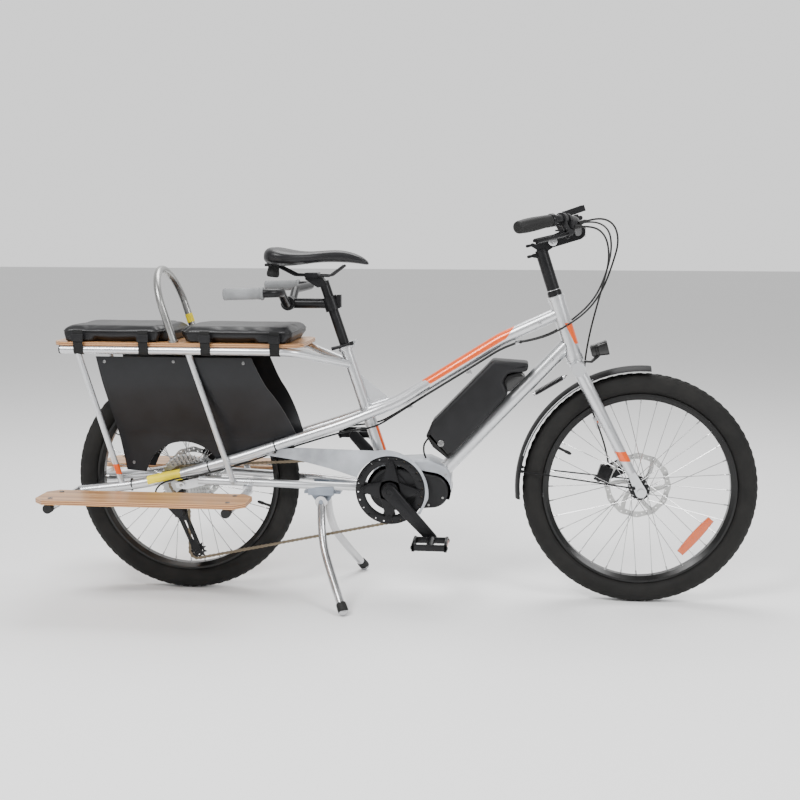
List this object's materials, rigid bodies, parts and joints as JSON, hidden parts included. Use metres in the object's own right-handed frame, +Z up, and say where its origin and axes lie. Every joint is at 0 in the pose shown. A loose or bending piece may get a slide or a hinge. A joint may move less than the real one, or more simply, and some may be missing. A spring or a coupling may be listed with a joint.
{
  "type": "cargo bicycle",
  "caption": "Longtail electric cargo bicycle with rear deck, passenger cushions, hoop rail, running boards, skirts and a wide double-leg stand.",
  "frame": {"origin": "on the ground, below the middle of the whole length", "axes": "+X forward along the bicycle, +Y to the rider's left, +Z up"},
  "size_m": [1.888, 0.64, 1.0671],
  "materials": {
    "frame_paint": "glossy pearl silver lacquer, orange accents",
    "black_metal": "satin black anodised or powder coated",
    "black_plastic": "moulded, fine grain",
    "tyre_rubber": "matt black rubber",
    "grip_rubber": "soft ribbed rubber",
    "grey_rubber": "soft grey rubber",
    "steel": "bare or zinc-plated steel",
    "alloy": "satin silver",
    "rim_alloy": "satin black alloy",
    "chain_steel": "oiled bronze-dark steel",
    "vinyl": "black coated cushion cover over foam",
    "panel": "thin black side panel",
    "wood": "lacquered bamboo ply",
    "guard": "silver grey",
    "cable": "black cable housing"
  },
  "bodies": {
    "frame": {"front_frame": "frame_paint", "top_tube": "frame_paint", "seat_tube": "frame_paint", "side_tubes": "frame_paint", "rear_stays": "frame_paint", "motor_body": "black_plastic", "motor_cover": "guard", "battery": "black_plastic", "rack_rails": "frame_paint", "rack_struts": "frame_paint", "deck_board": "wood", "cushions": "vinyl", "hoop_rail": "steel", "skirts": "panel", "running_boards": "wood", "board_supports": "frame_paint", "chain_guard": "guard", "stand_bracket": "alloy", "derailleur": "black_metal", "chain": "chain_steel", "damper_spring": "black_metal", "rear_caliper": "black_metal", "frame_cables": "cable"},
    "fork": {"fork_crown": "frame_paint", "fork_legs": "frame_paint", "front_fender": "black_plastic", "front_caliper": "black_metal", "headlight": "black_plastic"},
    "riser": {"stem_riser": "black_metal"},
    "bars": {"stem_head": "black_metal", "handlebar": "black_metal", "bar_grips": "grip_rubber", "controls": "black_plastic", "bar_cables": "cable"},
    "brake_lever_right": {"brake_lever_right": "black_metal"},
    "brake_lever_left": {"brake_lever_left": "black_metal"},
    "shift_lever": {"shift_lever": "black_plastic"},
    "tilt_lever": {"tilt_lever": "black_metal"},
    "height_lever": {"height_lever": "black_metal"},
    "seat_lever": {"seat_lever": "black_metal"},
    "front_wheel": {"front_tyre": "tyre_rubber", "front_rim": "rim_alloy", "front_hub": "steel", "front_spokes": "steel"},
    "rear_wheel": {"rear_tyre": "tyre_rubber", "rear_rim": "rim_alloy", "rear_hub": "steel", "rear_spokes": "steel"},
    "cassette": {"cassette": "steel"},
    "crankset": {"crankset": "black_metal"},
    "pedal_right": {"pedal_right": "black_plastic"},
    "pedal_left": {"pedal_left": "black_plastic"},
    "jockey_upper": {"jockey_upper": "black_plastic"},
    "jockey_lower": {"jockey_lower": "black_plastic"},
    "kickstand": {"kickstand": "alloy"},
    "seat": {"seatpost": "black_metal", "saddle": "vinyl", "stoker_stem": "black_metal", "stoker_bar": "black_metal", "stoker_grips": "grey_rubber"}
  },
  "joints": [
    {"name": "steering", "type": "hinge", "parent": "frame", "child": "fork", "pos_m": [0.452, 0, 0.661], "axis": [-0.3128, 0, 0.9498], "range_deg": [-50, 50], "stiffness_Nm_per_rad": 0.6, "deforming": ["damper_spring", "bar_cables"]},
    {"name": "stem_height", "type": "slide", "parent": "fork", "child": "riser", "axis": [-0.3128, 0, 0.9498], "range_m": [0, 0.06], "deforming": ["bar_cables"]},
    {"name": "stem_tilt", "type": "hinge", "parent": "riser", "child": "bars", "pos_m": [0.387, 0, 0.972], "axis": [0, 1, 0], "range_deg": [-20, 20], "deforming": ["bar_cables"]},
    {"name": "brake_squeeze_right", "type": "hinge", "parent": "bars", "child": "brake_lever_right", "pos_m": [0.42042, -0.21427, 0.99179], "axis": [-0.4707, 0.7291, -0.4968], "range_deg": [0, 10], "stiffness_Nm_per_rad": 1.5},
    {"name": "brake_squeeze_left", "type": "hinge", "parent": "bars", "child": "brake_lever_left", "pos_m": [0.42042, 0.21427, 0.99179], "axis": [0.4707, 0.7291, 0.4968], "range_deg": [0, 10], "stiffness_Nm_per_rad": 1.5},
    {"name": "shift_push", "type": "hinge", "parent": "bars", "child": "shift_lever", "pos_m": [0.42741, -0.17861, 0.99996], "axis": [0, 0, -1], "range_deg": [0, 22], "stiffness_Nm_per_rad": 0.4},
    {"name": "tilt_lever_swing", "type": "hinge", "parent": "riser", "child": "tilt_lever", "pos_m": [0.334, 0, 0.962], "axis": [0, 1, 0], "range_deg": [0, 70]},
    {"name": "height_lever_swing", "type": "hinge", "parent": "riser", "child": "height_lever", "pos_m": [0.337, 0, 0.934], "axis": [0, -1, 0], "range_deg": [0, 70]},
    {"name": "seat_lever_swing", "type": "hinge", "parent": "frame", "child": "seat_lever", "pos_m": [-0.146, -0.0255, 0.698], "axis": [-0.3177, 0, 0.9482], "range_deg": [0, 120]},
    {"name": "front_wheel_spin", "type": "hinge", "parent": "fork", "child": "front_wheel", "pos_m": [0.631, 0, 0.313], "axis": [0, 1, 0], "continuous": true},
    {"name": "rear_wheel_spin", "type": "hinge", "parent": "frame", "child": "rear_wheel", "pos_m": [-0.609, 0, 0.313], "axis": [0, 1, 0], "continuous": true},
    {"name": "crank_spin", "type": "hinge", "parent": "frame", "child": "crankset", "pos_m": [-0.038, 0, 0.303], "axis": [0, 1, 0], "continuous": true},
    {"name": "cassette_spin", "type": "hinge", "parent": "frame", "child": "cassette", "pos_m": [-0.609, 0, 0.313], "axis": [0, 1, 0], "continuous": true},
    {"name": "jockey_upper_spin", "type": "hinge", "parent": "frame", "child": "jockey_upper", "pos_m": [-0.62, 0, 0.228], "axis": [0, 1, 0], "continuous": true},
    {"name": "jockey_lower_spin", "type": "hinge", "parent": "frame", "child": "jockey_lower", "pos_m": [-0.575, 0, 0.119], "axis": [0, 1, 0], "continuous": true},
    {"name": "pedal_right_spin", "type": "hinge", "parent": "crankset", "child": "pedal_right", "pos_m": [0.07794, 0, 0.17867], "axis": [0, 1, 0], "continuous": true},
    {"name": "pedal_left_spin", "type": "hinge", "parent": "crankset", "child": "pedal_left", "pos_m": [-0.15394, 0, 0.42733], "axis": [0, 1, 0], "continuous": true},
    {"name": "stand_fold", "type": "hinge", "parent": "frame", "child": "kickstand", "pos_m": [-0.227, 0, 0.266], "axis": [0, 1, 0], "range_deg": [0, 88]},
    {"name": "seat_height", "type": "slide", "parent": "frame", "child": "seat", "axis": [-0.3177, 0, 0.9482], "range_m": [-0.03, 0.08]}
  ],
  "couplings": [
    {"joint": "cassette_spin", "follows": "crank_spin", "ratio": 2.0952},
    {"joint": "jockey_upper_spin", "follows": "crank_spin", "ratio": -4},
    {"joint": "jockey_lower_spin", "follows": "crank_spin", "ratio": 4}
  ]
}
